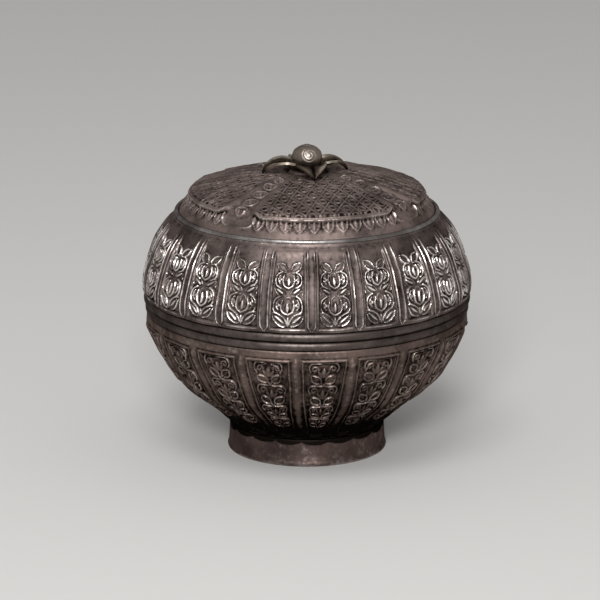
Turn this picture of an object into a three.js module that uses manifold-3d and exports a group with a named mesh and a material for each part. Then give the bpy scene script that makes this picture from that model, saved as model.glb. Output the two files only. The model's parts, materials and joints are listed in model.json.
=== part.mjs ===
// A lobed silver betel box: a bowl on a foot ring, and a lift-off lid that carries a domed top
// plate with four raised pads, a calyx of four leaves and a ball knob.
// Millimetres, +Z up. The origin is under the middle of the foot ring, and the front faces -Y.
// An azimuth is measured from the front, and grows to the right.
import * as THREE from 'three';
import { mergeVertices } from 'three/addons/utils/BufferGeometryUtils.js';
import Module from 'manifold-3d';

const wasm = await Module();
wasm.setup();

// Driving dimensions
const FIT_GAP = 0.3;          // air left between pieces that are soldered or rest on each other
const SHEET = 1.1;            // thickness of the beaten sheet
const ROUND_FACETS = 48;      // facets round a plain ring

const FOOT_R = 26.1;
const FOOT_HEIGHT = 8.9;
const FOOT_BEAD = 0.35;       // how far the foot's lower edge swells

const SEAM_Z = 50;            // the lid's mouth meets the bowl's mouth here
const NECK_R = 51.3;          // plain neck behind each rim moulding
const MOULDING_HEIGHT = 2.7;
const BOWL_MOULDING_R = 53.4;
const LID_MOULDING_R = 53.9;
const COLLAR_LOW_Z = 42.5;    // inner collar that keeps the lid in place
const COLLAR_TOP_Z = 54.2;
const COLLAR_SHEET = 0.9;

const BOWL_PANELS = 18;
const BOWL_FIRST_RIB = THREE.MathUtils.degToRad(-4);
const BOWL_FLOOR_Z = 9.2;
const BOWL_BAND_LOW_Z = 42.6; // the plain band under the bowl's moulding fades in from here
const BOWL_BAND_TOP_Z = 44.0;
const BOWL_FIELD_DEPTH = 1.0; // how far a panel's edge lies under its ribs
const BOWL_LOBE_RISE = 0.7;   // how far the panel's middle swells out again

const LID_PANELS = 22;
const LID_FIRST_RIB = THREE.MathUtils.degToRad(1.5);
const LID_PANEL_LOW_Z = 54.2;
const LID_PANEL_TOP_Z = 79.2;
const LID_FIELD_DEPTH = 0.6;
const LID_LOBE_RISE = 0.4;
const SHELF_Z = 79.4;         // flat shelf that the top plate rests on
const SHELF_R = 43.3;
const SHELF_HOLE_R = 37.6;

const PLATE_R = 41.8;
const PLATE_CHANNELS = 4;
const PLATE_FIRST_CHANNEL = THREE.MathUtils.degToRad(-35);
const CHANNEL_FLOOR_ANGLE = THREE.MathUtils.degToRad(6.8);   // from a channel's middle to its sides
const CHANNEL_EDGE_ANGLE = THREE.MathUtils.degToRad(8.3);    // from its middle to the pads' edges
const CHANNEL_DEPTH = 1.2;
const PLATE_BOSS_Z = 93.9;    // flat boss under the calyx
const PLATE_BOSS_LOW_Z = 91.7;
const WIRE_R = 42.9;
const WIRE_THICKNESS = 1.5;
const WIRE_Z = 80.5;

const PIN_R = 1.4;
const PIN_HEAD_R = 2.6;
const PIN_HEAD_HEIGHT = 0.9;
const PIN_TOP_Z = 98.1;
const WASHER_R = 5;
const WASHER_HEIGHT = 0.8;
const CALYX_LEAVES = 4;
const CALYX_FIRST_LEAF = THREE.MathUtils.degToRad(10);
const CALYX_TIP_R = 14.3;
const CALYX_NOTCH_R = 7.0;
const CALYX_BASE_R = 3.2;
const CALYX_ARCH_R = 9.5;
const CALYX_ARCH_RISE = 2.2;
const CALYX_TIP_DROP = 2.5;
const CALYX_CURL = 0.6;       // how far a leaf's edges curl up
const CALYX_SHEET = 0.8;
const BALL_R = 5.25;
const BALL_HALF_HEIGHT = 4.0;
const BALL_Z = 98.6;

const PIN_HOLE_R = PIN_R + FIT_GAP;
const NECK_INNER_R = NECK_R - SHEET;

const OXIDISED_SILVER = { color: 0x857c70, roughness: 0.42, metalness: 0.9 };
const POLISHED_SILVER = { color: 0xc4bdb0, roughness: 0.25, metalness: 0.95 };
const PLAIN_SILVER = { color: 0x9a948b, roughness: 0.35, metalness: 0.9 };
const GILT = { color: 0x8f7f4a, roughness: 0.38, metalness: 0.9 };

const group = new THREE.Group();

function addPiece(name, geometry, finish) {
  const mesh = new THREE.Mesh(geometry, new THREE.MeshStandardMaterial(finish));
  mesh.name = name;
  group.add(mesh);
}

// Turns a profile of [radius, height] points round Z. place() may then move each point: it gets
// the point's row in the profile and its column round the axis, and gives azimuth, radius, height.
function turn(profile, facets, place) {
  const points = profile.map(([radius, height]) => new THREE.Vector2(radius, height));
  const geometry = new THREE.LatheGeometry(points, facets);
  geometry.rotateX(Math.PI / 2);
  if (!place) return geometry;
  const position = geometry.attributes.position;
  for (let i = 0; i < position.count; i += 1) {
    const row = i % profile.length;
    const column = Math.floor(i / profile.length);
    const [azimuth, radius, height] = place(row, column);
    position.setXYZ(i, radius * Math.sin(azimuth), -radius * Math.cos(azimuth), height);
  }
  return geometry;
}

function ring(profile) {
  return turn([...profile, profile[0]], ROUND_FACETS);
}

// Samples a smooth curve through a few [radius, height] points.
function curve(points, steps) {
  const spline = new THREE.SplineCurve(points.map(([radius, height]) => new THREE.Vector2(radius, height)));
  return spline.getPoints(steps).map((point) => [point.x, point.y]);
}

// Merges a geometry's shared points and drops its empty triangles, as a boolean needs.
function toSolid(geometry) {
  const bare = geometry.clone();
  bare.deleteAttribute('normal');
  bare.deleteAttribute('uv');
  const merged = mergeVertices(bare, 1e-3);
  const index = merged.index.array;
  const triVerts = [];
  for (let i = 0; i < index.length; i += 3) {
    const [a, b, c] = [index[i], index[i + 1], index[i + 2]];
    if (a !== b && b !== c && c !== a) triVerts.push(a, b, c);
  }
  return new wasm.Manifold(new wasm.Mesh({
    numProp: 3,
    vertProperties: new Float32Array(merged.attributes.position.array),
    triVerts: new Uint32Array(triVerts),
  }));
}

function cut(outer, cavity) {
  const mesh = toSolid(outer).subtract(toSolid(cavity)).getMesh();
  const geometry = new THREE.BufferGeometry();
  geometry.setAttribute('position', new THREE.BufferAttribute(mesh.vertProperties, 3));
  geometry.setIndex(new THREE.BufferAttribute(mesh.triVerts, 1));
  geometry.computeVertexNormals();
  return geometry;
}

// Panels round the body: columns stand at set fractions of a panel's width, the first two on the
// rib between panels. relief() gives how far a point lies under the outline.
function panelled(profile, panels, firstRib, columns, relief) {
  const pitch = 2 * Math.PI / panels;
  return turn(profile, panels * columns.length, (row, column) => {
    const [radius, height] = profile[row];
    const fraction = columns[column % columns.length];
    const azimuth = firstRib + pitch * (Math.floor(column / columns.length) + fraction);
    return [azimuth, radius - relief(Math.min(Math.abs(fraction), 1 - fraction), height), height];
  });
}

// Depth under the ribs at a fraction of the panel's width from the rib's middle.
function fieldDepth(fraction, ribEdge, ribFoot, depth, lobeRise) {
  const sunk = THREE.MathUtils.smoothstep(fraction, ribEdge, ribFoot);
  const swell = THREE.MathUtils.smoothstep(fraction, ribFoot, 0.5);
  return depth * sunk - lobeRise * swell;
}

function footRing() {
  const inner = FOOT_R - SHEET - FOOT_BEAD;
  return ring([
    [FOOT_R, 0],
    [FOOT_R + FOOT_BEAD, 0.8],
    [FOOT_R, 1.6],
    [FOOT_R - 0.4, FOOT_HEIGHT],
    [inner - 0.2, FOOT_HEIGHT],
    [inner, 0],
  ]);
}

const bowlOutline = [[26.4, 9.9], [33.0, 15.9], [42.8, 23.9], [48.1, 31.8], [52.1, 39.8], [53, BOWL_BAND_LOW_Z]];

function bowlShell() {
  const mouldingLow = SEAM_Z - FIT_GAP / 2 - MOULDING_HEIGHT - FIT_GAP;
  const mouth = SEAM_Z - FIT_GAP / 2;
  const outer = [
    [0, BOWL_FLOOR_Z],
    [24.5, BOWL_FLOOR_Z],
    ...curve(bowlOutline, 7),
    [53.05, BOWL_BAND_TOP_Z],
    [53.1, mouldingLow],
    [NECK_R, mouldingLow],
    [NECK_R, mouth],
    [0, mouth],
  ];
  const ribEdge = 0.06;
  const ribFoot = 0.14;
  const columns = [-ribEdge, ribEdge, ribFoot, 0.38, 0.62, 1 - ribFoot];
  const relief = (fraction, height) => {
    if (height <= BOWL_FLOOR_Z || height > mouldingLow - 1) return 0;
    const fade = 1 - THREE.MathUtils.smoothstep(height, BOWL_BAND_LOW_Z, BOWL_BAND_TOP_Z);
    return fade * fieldDepth(fraction, ribEdge, ribFoot, BOWL_FIELD_DEPTH, BOWL_LOBE_RISE);
  };
  const wall = SHEET + BOWL_FIELD_DEPTH + 0.1;
  const cavity = [
    [0, BOWL_FLOOR_Z + SHEET],
    [23.6, BOWL_FLOOR_Z + SHEET],
    ...curve(bowlOutline, 5).slice(1).map(([radius, height]) => [radius - wall, height]),
    [NECK_R - FIT_GAP, mouldingLow - 1.5],
    [NECK_INNER_R, mouldingLow - 0.7],
    [NECK_INNER_R, mouth + 1],
    [0, mouth + 1],
  ];
  const body = panelled(outer, BOWL_PANELS, BOWL_FIRST_RIB, columns, relief);
  return cut(body, turn(cavity, ROUND_FACETS));
}

// A half-round moulding: flat against the neck, round outside.
function rimMoulding(lowZ, crestR) {
  const innerR = NECK_R + FIT_GAP;
  const halfHeight = MOULDING_HEIGHT / 2;
  const flatR = innerR + 0.6;
  const arcSteps = 5;
  const profile = [[innerR, lowZ]];
  for (let i = 0; i <= arcSteps; i += 1) {
    const angle = Math.PI * (i / arcSteps - 0.5);
    const bulge = (crestR - flatR) * Math.cos(angle);
    profile.push([flatR + bulge, lowZ + halfHeight * (1 + Math.sin(angle))]);
  }
  profile.push([innerR, lowZ + MOULDING_HEIGHT]);
  return ring(profile);
}

function bowlCollar() {
  const outerR = NECK_INNER_R - FIT_GAP;
  const innerR = outerR - COLLAR_SHEET;
  return ring([
    [outerR, COLLAR_LOW_Z],
    [outerR, COLLAR_TOP_Z - 0.5],
    [outerR - 0.4, COLLAR_TOP_Z],
    [innerR, COLLAR_TOP_Z],
    [innerR, COLLAR_LOW_Z],
  ]);
}

const lidOutline = [[54.8, 55.6], [54.5, 59.6], [52.6, 65.6], [50.0, 71.6], [45.8, 77.5], [43.9, 79.0]];

function lidShell() {
  const mouth = SEAM_Z + FIT_GAP / 2;
  const ledge = mouth + MOULDING_HEIGHT + FIT_GAP;
  const outer = [
    [0, mouth],
    [NECK_R, mouth],
    [NECK_R, ledge],
    [54.2, ledge],
    [54.5, LID_PANEL_LOW_Z],
    ...curve(lidOutline, 6),
    [SHELF_R, SHELF_Z],
    [0, SHELF_Z],
  ];
  const ribEdge = 0.1;
  const ribFoot = 0.16;
  const columns = [-ribEdge, ribEdge, ribFoot, 0.38, 0.62, 1 - ribFoot];
  const relief = (fraction, height) => {
    const fadeIn = THREE.MathUtils.smoothstep(height, LID_PANEL_LOW_Z, LID_PANEL_LOW_Z + 1.3);
    const fadeOut = 1 - THREE.MathUtils.smoothstep(height, LID_PANEL_TOP_Z - 2.5, LID_PANEL_TOP_Z);
    return fadeIn * fadeOut * fieldDepth(fraction, ribEdge, ribFoot, LID_FIELD_DEPTH, LID_LOBE_RISE);
  };
  const wall = SHEET + LID_FIELD_DEPTH + 0.1;
  const shelfLow = SHELF_Z - SHEET;
  const cavity = [
    [0, mouth - 1],
    [NECK_INNER_R, mouth - 1],
    [NECK_INNER_R, ledge + 0.6],
    ...curve(lidOutline, 5).slice(0, -1).map(([radius, height]) => [radius - wall, height]),
    [42.6, shelfLow],
    [SHELF_HOLE_R, shelfLow],
    [SHELF_HOLE_R, SHELF_Z + 1],
    [0, SHELF_Z + 1],
  ];
  const body = panelled(outer, LID_PANELS, LID_FIRST_RIB, columns, relief);
  return cut(body, turn(cavity, ROUND_FACETS));
}

// The domed plate: four raised pads parted by sunken channels that widen towards the rim.
function topPlate() {
  const top = [
    [PLATE_R, SHELF_Z + FIT_GAP],
    [PLATE_R, 80.3],
    [40.7, 82.4],
    [38.6, 87.1],
    [37.0, 88.4],
    [28.0, 90.9],
    [20.0, 92.7],
    [11.5, 93.9],
    [10.5, 92.8],
    [5.4, 92.7],
    [4.8, PLATE_BOSS_Z],
    [PIN_HOLE_R, PLATE_BOSS_Z],
  ];
  const underside = [
    [PIN_HOLE_R, PLATE_BOSS_LOW_Z],
    [6.5, 91.5],
    [20.0, 90.3],
    [28.0, 88.4],
    [36.2, 85.6],
    [39.1, 82.6],
    [39.8, SHELF_Z + FIT_GAP],
  ];
  const profile = [...top, ...underside, top[0]];
  const firstLowered = 3;
  const lastLowered = 7;
  const padSteps = 9;
  const columnsPerPad = padSteps + 4;
  const pitch = 2 * Math.PI / PLATE_CHANNELS;
  return turn(profile, PLATE_CHANNELS * columnsPerPad, (row, column) => {
    const [radius, height] = profile[row];
    const step = column % columnsPerPad;
    const start = PLATE_FIRST_CHANNEL + pitch * Math.floor(column / columnsPerPad);
    const padPart = (step - 2) / padSteps;
    const channelSteps = { 0: 0, 1: CHANNEL_FLOOR_ANGLE, [columnsPerPad - 1]: pitch - CHANNEL_FLOOR_ANGLE };
    const azimuth = channelSteps[step] ?? CHANNEL_EDGE_ANGLE + padPart * (pitch - 2 * CHANNEL_EDGE_ANGLE);
    const inChannel = step in channelSteps && row >= firstLowered && row <= lastLowered;
    return [start + azimuth, radius, inChannel ? height - CHANNEL_DEPTH : height];
  });
}

function plateWire() {
  const sides = 6;
  const profile = [];
  for (let i = 0; i < sides; i += 1) {
    const angle = 2 * Math.PI * i / sides;
    const reach = WIRE_THICKNESS / 2;
    profile.push([WIRE_R + reach * Math.cos(angle), WIRE_Z + reach * Math.sin(angle)]);
  }
  return ring(profile);
}

// Height of the calyx's underside at a radius: a flat base, an arch, then a droop to the leaf's tip.
function calyxHeight(radius) {
  const base = PLATE_BOSS_Z + FIT_GAP;
  if (radius > CALYX_ARCH_R) {
    const droop = (radius - CALYX_ARCH_R) / (CALYX_TIP_R - CALYX_ARCH_R);
    return base + CALYX_ARCH_RISE - CALYX_TIP_DROP * droop * droop;
  }
  return base + CALYX_ARCH_RISE * THREE.MathUtils.smoothstep(radius, CALYX_BASE_R, CALYX_ARCH_R);
}

// One sheet cut into four pointed leaves. A row is a share of the way from pin hole to leaf edge.
function knobCalyx() {
  const shares = [0, 0.2, 0.45, 0.7, 0.88, 1];
  const underside = shares.map((share) => [share, 0]);
  const upper = shares.map((share) => [share, CALYX_SHEET]).reverse();
  const profile = [...underside, ...upper, underside[0]];
  const columnsPerLeaf = 10;
  const facets = CALYX_LEAVES * columnsPerLeaf;
  return turn(profile, facets, (row, column) => {
    const [share, layer] = profile[row];
    const leafPart = 2 * (column % columnsPerLeaf) / columnsPerLeaf;
    const fromMiddle = Math.min(leafPart, 2 - leafPart);
    const edgeR = CALYX_NOTCH_R + (CALYX_TIP_R - CALYX_NOTCH_R) * (1 - fromMiddle ** 1.2);
    const radius = THREE.MathUtils.lerp(PIN_HOLE_R, edgeR, share);
    const curl = CALYX_CURL * fromMiddle * share ** 2;
    const azimuth = CALYX_FIRST_LEAF + 2 * Math.PI * column / facets;
    return [azimuth, radius, calyxHeight(radius) + curl + layer];
  });
}

function knobBall() {
  const seatZ = PLATE_BOSS_Z + FIT_GAP + CALYX_SHEET + FIT_GAP;
  const seatAngle = Math.asin((seatZ - BALL_Z) / BALL_HALF_HEIGHT);
  const steps = 9;
  const socketTop = PIN_TOP_Z + FIT_GAP;
  const profile = [[0, socketTop], [PIN_HOLE_R, socketTop], [PIN_HOLE_R, seatZ]];
  for (let i = 0; i < steps; i += 1) {
    const angle = THREE.MathUtils.lerp(seatAngle, Math.PI / 2, i / steps);
    profile.push([BALL_R * Math.cos(angle), BALL_Z + BALL_HALF_HEIGHT * Math.sin(angle)]);
  }
  profile.push([0, BALL_Z + BALL_HALF_HEIGHT]);
  return turn(profile, 20);
}

const washerTop = PLATE_BOSS_LOW_Z - FIT_GAP;
const washerLow = washerTop - WASHER_HEIGHT;

function knobWasher() {
  const profile = [[WASHER_R, washerLow], [WASHER_R, washerTop], [PIN_HOLE_R, washerTop], [PIN_HOLE_R, washerLow]];
  return turn([...profile, profile[0]], 20);
}

function knobPin() {
  const headTop = washerLow - FIT_GAP;
  const headLow = headTop - PIN_HEAD_HEIGHT;
  return turn([
    [0, headLow],
    [PIN_HEAD_R * 0.7, headLow],
    [PIN_HEAD_R, headTop - 0.3],
    [PIN_HEAD_R, headTop],
    [PIN_R, headTop],
    [PIN_R, PIN_TOP_Z],
    [0, PIN_TOP_Z],
  ], 16);
}

const bowlMouldingLow = SEAM_Z - FIT_GAP / 2 - MOULDING_HEIGHT;
const lidMouldingLow = SEAM_Z + FIT_GAP / 2;

addPiece('foot_ring', footRing(), PLAIN_SILVER);
addPiece('bowl_shell', bowlShell(), OXIDISED_SILVER);
addPiece('bowl_rim_moulding', rimMoulding(bowlMouldingLow, BOWL_MOULDING_R), POLISHED_SILVER);
addPiece('bowl_collar', bowlCollar(), PLAIN_SILVER);
addPiece('lid_shell', lidShell(), OXIDISED_SILVER);
addPiece('lid_rim_moulding', rimMoulding(lidMouldingLow, LID_MOULDING_R), POLISHED_SILVER);
addPiece('top_plate', topPlate(), OXIDISED_SILVER);
addPiece('top_plate_wire', plateWire(), POLISHED_SILVER);
addPiece('knob_calyx', knobCalyx(), GILT);
addPiece('knob_ball', knobBall(), OXIDISED_SILVER);
addPiece('knob_pin', knobPin(), PLAIN_SILVER);
addPiece('knob_washer', knobWasher(), PLAIN_SILVER);

export default group;
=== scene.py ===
# %% [markdown]
# # A lobed silver betel box
# The box is beaten from sheet silver: a bowl of eighteen panels on a plain foot ring, and a lid of
# twenty-two panels with a domed plate on top. Every panel is chased with foliage, and time has
# darkened the silver in the hollows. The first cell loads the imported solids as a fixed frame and
# keeps their box, so that the finished model can be held against it at the end.

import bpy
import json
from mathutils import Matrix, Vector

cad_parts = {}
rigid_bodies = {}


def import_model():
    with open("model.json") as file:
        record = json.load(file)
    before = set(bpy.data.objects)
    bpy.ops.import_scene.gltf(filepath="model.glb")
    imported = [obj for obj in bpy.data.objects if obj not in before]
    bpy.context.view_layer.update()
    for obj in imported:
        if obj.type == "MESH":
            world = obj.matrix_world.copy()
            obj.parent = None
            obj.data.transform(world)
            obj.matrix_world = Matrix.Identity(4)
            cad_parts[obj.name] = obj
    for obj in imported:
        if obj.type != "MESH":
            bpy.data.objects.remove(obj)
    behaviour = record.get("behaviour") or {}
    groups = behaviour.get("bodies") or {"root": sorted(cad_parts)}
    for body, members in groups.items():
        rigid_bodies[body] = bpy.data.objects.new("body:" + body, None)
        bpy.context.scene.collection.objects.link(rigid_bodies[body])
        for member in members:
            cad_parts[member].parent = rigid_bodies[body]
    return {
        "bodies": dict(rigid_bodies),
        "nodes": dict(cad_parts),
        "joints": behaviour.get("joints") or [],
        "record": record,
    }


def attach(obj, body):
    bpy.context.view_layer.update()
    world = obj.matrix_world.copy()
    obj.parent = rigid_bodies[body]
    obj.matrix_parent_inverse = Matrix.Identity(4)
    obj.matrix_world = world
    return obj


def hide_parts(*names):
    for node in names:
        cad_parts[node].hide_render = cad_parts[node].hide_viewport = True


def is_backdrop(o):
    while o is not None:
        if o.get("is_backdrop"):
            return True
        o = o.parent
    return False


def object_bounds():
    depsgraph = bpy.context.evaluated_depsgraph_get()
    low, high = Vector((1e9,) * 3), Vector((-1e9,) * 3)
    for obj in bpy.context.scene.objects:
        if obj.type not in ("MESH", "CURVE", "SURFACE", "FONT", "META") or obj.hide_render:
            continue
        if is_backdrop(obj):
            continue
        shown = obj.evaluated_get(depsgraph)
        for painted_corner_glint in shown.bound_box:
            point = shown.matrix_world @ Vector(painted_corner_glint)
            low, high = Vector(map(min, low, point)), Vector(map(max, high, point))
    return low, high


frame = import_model()
cad_low, cad_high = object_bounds()


def print_box(name, low, high):
    print(name, "box", [round(1000 * (b - a), 1) for a, b in zip(low, high)], "mm")


print_box("CAD", cad_low, cad_high)

# %% [markdown]
# ## Camera
# The photograph was taken from the front, a little above the box, with a long lens. The camera's
# distance and lens follow from the curve of the seam and from the size of the foot. The box's axis
# stands seven pixels right of the picture's middle, so the camera stands a little to its left.

# %% Camera
import bisect
import itertools
import json
import math
from types import SimpleNamespace

import bmesh
import bpy
from mathutils import Matrix, Vector, noise

MM = 0.001
PHOTO_WIDTH_PX = 600
FOCAL_PX = 3600
SENSOR_MM = 36
CAMERA_DISTANCE = 1.193
CAMERA_ELEVATION = math.radians(15.3)
CLIP_RANGE = (0.01, 20)
AIM = Vector((-0.0023, 0, 0.0496))


def aim(thing, target):
    thing.rotation_mode = "QUATERNION"
    thing.rotation_quaternion = (target - thing.location).to_track_quat("-Z", "Y")


scene = bpy.context.scene
camera = bpy.data.objects.new("camera", bpy.data.cameras.new("camera"))
scene.collection.objects.link(camera)
back = Vector((0, -math.cos(CAMERA_ELEVATION), math.sin(CAMERA_ELEVATION)))
camera.location = AIM + CAMERA_DISTANCE * back
camera.data.sensor_width = SENSOR_MM
camera.data.lens = SENSOR_MM * FOCAL_PX / PHOTO_WIDTH_PX
camera.data.clip_start, camera.data.clip_end = CLIP_RANGE
aim(camera, AIM)
scene.camera = camera
scene.view_settings.view_transform = "Standard"
print("camera at", [round(v, 3) for v in camera.location], "lens", round(camera.data.lens), "mm")

# %% [markdown]
# ## Light and floor
# Silver shows what stands round it, so the light is a plain one: a soft lamp above the front, a
# second one just over the camera, and a pale world. The floor is a flat plane of a pale grey. Camera
# rays and glossy rays both see the pale backdrop, so the metal mirrors the room of the picture.

# %% Light and floor
LAMP_TARGET = Vector((0, 0, 0.05))
LAMPS = {
    "key_lamp": ((-0.12, -0.50, 1.05), (0.5, 0.4), 3.5),
    "front_lamp": ((-0.10, -1.45, 0.78), (0.46, 0.36), 19),
}
WHITE = (1, 1, 1, 1)
WORLD_STRENGTH = 0.45
BACKDROP_COLOUR = (0.43, 0.425, 0.415, 1)
FLOOR_COLOUR = (0.62, 0.61, 0.595, 1)
FLOOR_ROUGHNESS = 0.9
FLOOR_SHEEN = 0.1
FLOOR_SIZE = 6


def soft_lamp(name, place, size, power):
    lamp = bpy.data.objects.new(name, bpy.data.lights.new(name, "AREA"))
    lamp.data.shape = "RECTANGLE"
    lamp.data.size, lamp.data.size_y = size
    lamp.data.energy = power
    lamp.location = place
    scene.collection.objects.link(lamp)
    aim(lamp, LAMP_TARGET)


def feed(tree, node, inputs):
    """Sets the node's inputs. Another node's output is linked instead."""
    for name, value in inputs.items():
        if isinstance(value, bpy.types.NodeSocket):
            tree.links.new(value, node.inputs[name])
        else:
            node.inputs[name].default_value = value


def add_node(tree, kind, inputs, **settings):
    made = tree.nodes.new(kind)
    for key, value in settings.items():
        setattr(made, key, value)
    feed(tree, made, inputs)
    return made


def arithmetic(tree, operation, first, second):
    return add_node(tree, "ShaderNodeMath", {0: first, 1: second}, operation=operation).outputs[0]


def world_backdrop():
    world = bpy.data.worlds.new("pale_room")
    world.use_nodes = True
    tree = world.node_tree
    tree.nodes.clear()
    ambient = add_node(tree, "ShaderNodeBackground", {"Color": WHITE, "Strength": WORLD_STRENGTH})
    seen = add_node(tree, "ShaderNodeBackground", {"Color": BACKDROP_COLOUR})
    rays = add_node(tree, "ShaderNodeLightPath", {}).outputs
    either = arithmetic(tree, "MAXIMUM", rays["Is Camera Ray"], rays["Is Glossy Ray"])
    blend = add_node(tree, "ShaderNodeMixShader", {0: either, 1: ambient.outputs[0], 2: seen.outputs[0]})
    add_node(tree, "ShaderNodeOutputWorld", {"Surface": blend.outputs[0]})
    scene.world = world


def new_paint(name):
    """A material with nodes: its tree and its surface."""
    paint = bpy.data.materials.new(name)
    paint.use_nodes = True
    return paint, paint.node_tree, paint.node_tree.nodes["Principled BSDF"]


def pale_floor():
    bm = bmesh.new()
    bmesh.ops.create_grid(bm, x_segments=1, y_segments=1, size=FLOOR_SIZE / 2)
    mesh = bpy.data.meshes.new("floor")
    bm.to_mesh(mesh)
    bm.free()
    floor = bpy.data.objects.new("floor", mesh)
    scene.collection.objects.link(floor)
    paint, tree, surface = new_paint("pale_floor")
    plain = {"Base Color": FLOOR_COLOUR, "Roughness": FLOOR_ROUGHNESS, "Specular IOR Level": FLOOR_SHEEN}
    feed(tree, surface, plain)
    mesh.materials.append(paint)
    floor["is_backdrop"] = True


for lamp_name, settings in LAMPS.items():
    soft_lamp(lamp_name, *settings)
world_backdrop()
pale_floor()
print(len(LAMPS), "lamps, a pale world and a floor", FLOOR_SIZE, "m wide")

# %% [markdown]
# ## Silver
# Old silver isn't one colour. The high points are rubbed bright by hands, the flat ground is a warm
# grey, and the hollows hold a brown-black oxide. Each carved piece stores how high each of its
# points stands in an attribute, and the material reads it. On some pieces the same attribute also
# carries painted shade and painted highlights: the belly's shadow on the foot, the bowl's darkening
# towards the bottom, glints at the bowl's field corners and on the lappets, and the ball's lighter
# top. Noise then breaks the tone up, as handling does, and a fine bump gives the scratches and the
# punched ground.

# %% The silver materials
OXIDE = (0.010, 0.0075, 0.0065, 1)
EDGE_TINT = (0.34, 0.34, 0.34, 1)
STAIN_SHARES = (0.66, 1.28)
WEAR_NOISE = (120, 4)
MIDDLE_NOISE = (260, 4)
SPECK_NOISE = (800, 3)
FINE_NOISE = (1500, 3)
STAIN_NOISE = (85, 7)
SCRATCH_NOISE = (1.0, 2)
DENT_NOISE = (130, 1)
PUNCH_SCALE = 1700
SCRATCH_STRETCH = (900, 900, 220)
MIDDLE_SHARE = 0.35
SPECK_SHARE = 0.55
MOTTLE_MEAN = 0.45
LIT_FROM = (0.16, 0.52)
RUBBED_FROM = (0.58, 0.95)
WORN_FROM = (0.36, 0.62, 0.25, 1.0)
STAINED_FROM = (0.36, 0.64)
SMOOTH_FROM = (0.5, 0.9)
PUNCHED_FROM = (0.15, 0.5)
SMEAR = 0.3
SCRATCH_SHARE = 0.5
BUMP_STRENGTH = 0.5
BUMP_DEPTH = 0.00003


def silver(name, ground, bright, rough_high, rough_low, punched=0.0, hammered=0.0):
    """Old silver: oxide in the hollows, the ground colour between, and the bright one on top."""
    paint, tree, surface = new_paint(name)
    coords = add_node(tree, "ShaderNodeTexCoord", {}).outputs["Object"]
    relief = add_node(tree, "ShaderNodeAttribute", {}, attribute_name="relief").outputs["Fac"]

    def times(first, second):
        return arithmetic(tree, "MULTIPLY", first, second)

    def plus(first, second):
        return arithmetic(tree, "ADD", first, second)

    def minus(first, second):
        return arithmetic(tree, "SUBTRACT", first, second)

    def cloud(scale, detail, place=coords):
        inputs = {"Vector": place, "Scale": scale, "Detail": detail}
        return add_node(tree, "ShaderNodeTexNoise", inputs).outputs["Fac"]

    def remap(value, low, high, to_low=0.0, to_high=1.0):
        inputs = {"Value": value, "From Min": low, "From Max": high, "To Min": to_low, "To Max": to_high}
        node = add_node(tree, "ShaderNodeMapRange", inputs, interpolation_type="SMOOTHSTEP")
        return node.outputs["Result"]

    def blend(factor, first, second):
        inputs = {0: factor, 6: first, 7: second}
        return add_node(tree, "ShaderNodeMix", inputs, data_type="RGBA").outputs[2]

    middle = cloud(*MIDDLE_NOISE)
    mottle = plus(times(middle, MIDDLE_SHARE), times(cloud(*SPECK_NOISE), SPECK_SHARE))
    height = plus(relief, minus(mottle, MOTTLE_MEAN))
    dark, light = ((*(share * channel for channel in ground), 1) for share in STAIN_SHARES)
    colour = blend(remap(cloud(*STAIN_NOISE), *STAINED_FROM), dark, light)
    colour = blend(remap(height, *LIT_FROM), OXIDE, colour)
    rubbed = times(remap(height, *RUBBED_FROM), remap(cloud(*WEAR_NOISE), *WORN_FROM))
    colour = blend(rubbed, colour, (*bright, 1))
    rough = plus(remap(height, *SMOOTH_FROM, rough_low, rough_high), times(minus(middle, 0.5), SMEAR))

    stretched = add_node(tree, "ShaderNodeMapping", {"Vector": coords, "Scale": SCRATCH_STRETCH})
    scratches = cloud(*SCRATCH_NOISE, stretched.outputs["Vector"])
    bumps = plus(times(scratches, SCRATCH_SHARE), cloud(*FINE_NOISE))
    if punched:
        inputs = {"Vector": coords, "Scale": PUNCH_SCALE}
        cells = add_node(tree, "ShaderNodeTexVoronoi", inputs, feature="F1")
        bumps = plus(bumps, times(cells.outputs["Distance"], remap(relief, *PUNCHED_FROM, punched, 0.0)))
    if hammered:
        bumps = plus(bumps, times(cloud(*DENT_NOISE), hammered))
    bump = {"Strength": BUMP_STRENGTH, "Distance": BUMP_DEPTH, "Height": bumps}
    feed(tree, surface, {
        "Base Color": colour, "Metallic": 1.0, "Specular Tint": EDGE_TINT, "Roughness": rough,
        "Normal": add_node(tree, "ShaderNodeBump", bump).outputs["Normal"],
    })
    return paint


lid_silver = silver("lid_silver", (0.150, 0.117, 0.108), (0.88, 0.83, 0.80), 0.32, 0.56, punched=3)
# The bowl's silver is darker than the lid's: partly heavier tarnish, partly painted shade of the lower bowl.
bowl_silver = silver("bowl_silver", (0.132, 0.095, 0.083), (0.40, 0.345, 0.315), 0.42, 0.54, punched=3)
# The plate's silver is lighter than the lid's: painted light on the plate's upward-facing slopes.
plate_silver = silver("plate_silver", (0.215, 0.165, 0.151), (0.54, 0.48, 0.46), 0.46, 0.60, punched=3)
moulding_silver = silver("moulding_silver", (0.070, 0.053, 0.048), (0.130, 0.109, 0.101), 0.42, 0.54)
wire_silver = silver("wire_silver", (0.13, 0.11, 0.103), (0.34, 0.32, 0.31), 0.36, 0.50)
foot_silver = silver("foot_silver", (0.092, 0.064, 0.057), (0.34, 0.29, 0.27), 0.36, 0.54, hammered=8)
ball_silver = silver("ball_silver", (0.236, 0.196, 0.166), (0.54, 0.49, 0.465), 0.32, 0.44)
calyx_silver = silver("calyx_silver", (0.124, 0.098, 0.073), (0.52, 0.455, 0.385), 0.34, 0.48)
print("eight silver finishes")

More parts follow.
